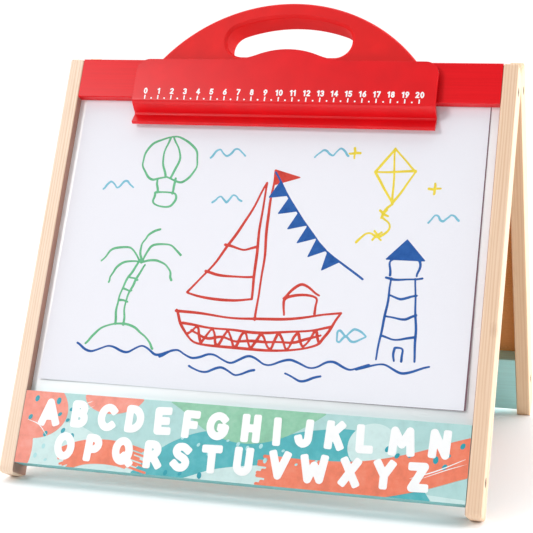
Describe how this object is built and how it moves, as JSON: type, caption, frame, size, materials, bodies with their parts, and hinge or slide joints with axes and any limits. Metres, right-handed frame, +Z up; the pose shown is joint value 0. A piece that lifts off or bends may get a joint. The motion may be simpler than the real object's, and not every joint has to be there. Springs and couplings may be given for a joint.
{
  "type": "folding tabletop easel",
  "caption": "Folding A-frame tabletop easel with a magnetic whiteboard, alphabet rail, spring ruler paper clip, carry handle and rear chalkboard.",
  "frame": {"origin": "on the floor, midway between the front and rear feet and under the fold hinge axis", "axes": "+X to the right of a user facing the whiteboard, +Y from the whiteboard towards the rear frame, +Z up"},
  "size_m": [0.33, 0.2962, 0.325],
  "materials": {
    "pine": "clear satin lacquer",
    "red_painted_wood": "satin paint",
    "teal_painted_wood": "satin paint",
    "printed_film": "printed, matte",
    "hardboard": "raw pressed fibre",
    "white_coated_steel": "gloss white coating",
    "paper": "plain sheet",
    "zinc_steel": "zinc plated",
    "red_plastic": "satin moulded",
    "white_print": "printed",
    "grip_rubber": "matte",
    "chalkboard": "matte slate-like coating"
  },
  "bodies": {
    "front_frame": {"front_left_stile": "pine", "front_right_stile": "pine", "front_top_rail": "red_painted_wood", "alphabet_rail": "teal_painted_wood", "alphabet_panel": "printed_film", "front_backing_board": "hardboard", "steel_whiteboard_sheet": "white_coated_steel", "drawing_paper": "paper", "front_frame_screws": "zinc_steel", "carry_handle": "red_plastic", "handle_screws": "zinc_steel", "clip_brackets": "zinc_steel", "clip_bracket_screws": "zinc_steel", "clip_pivot_pins": "zinc_steel", "clip_springs": "zinc_steel", "hinge_front_leaves": "zinc_steel", "hinge_front_screws": "zinc_steel", "hinge_pins": "zinc_steel"},
    "paper_clip": {"ruler_clip": "red_plastic", "ruler_marks": "white_print", "clip_grip_pad": "grip_rubber"},
    "rear_frame": {"rear_left_stile": "pine", "rear_right_stile": "pine", "rear_top_rail": "red_painted_wood", "rear_bottom_rail": "teal_painted_wood", "rear_backing_board": "hardboard", "chalkboard_sheet": "chalkboard", "rear_frame_screws": "zinc_steel", "hinge_rear_leaves": "zinc_steel", "hinge_rear_screws": "zinc_steel"}
  },
  "joints": [
    {"name": "fold_hinge", "type": "hinge", "parent": "front_frame", "child": "rear_frame", "pos_m": [0, 0, 0.2676], "axis": [1, 0, 0], "range_deg": [-51.2, 0]},
    {"name": "clip_pivot", "type": "hinge", "parent": "front_frame", "child": "paper_clip", "pos_m": [0, -0.0214, 0.26898], "axis": [1, 0, 0], "range_deg": [-8, 0], "stiffness_Nm_per_rad": 0.4, "springref_deg": 20.05, "deforming": ["clip_springs"]}
  ]
}
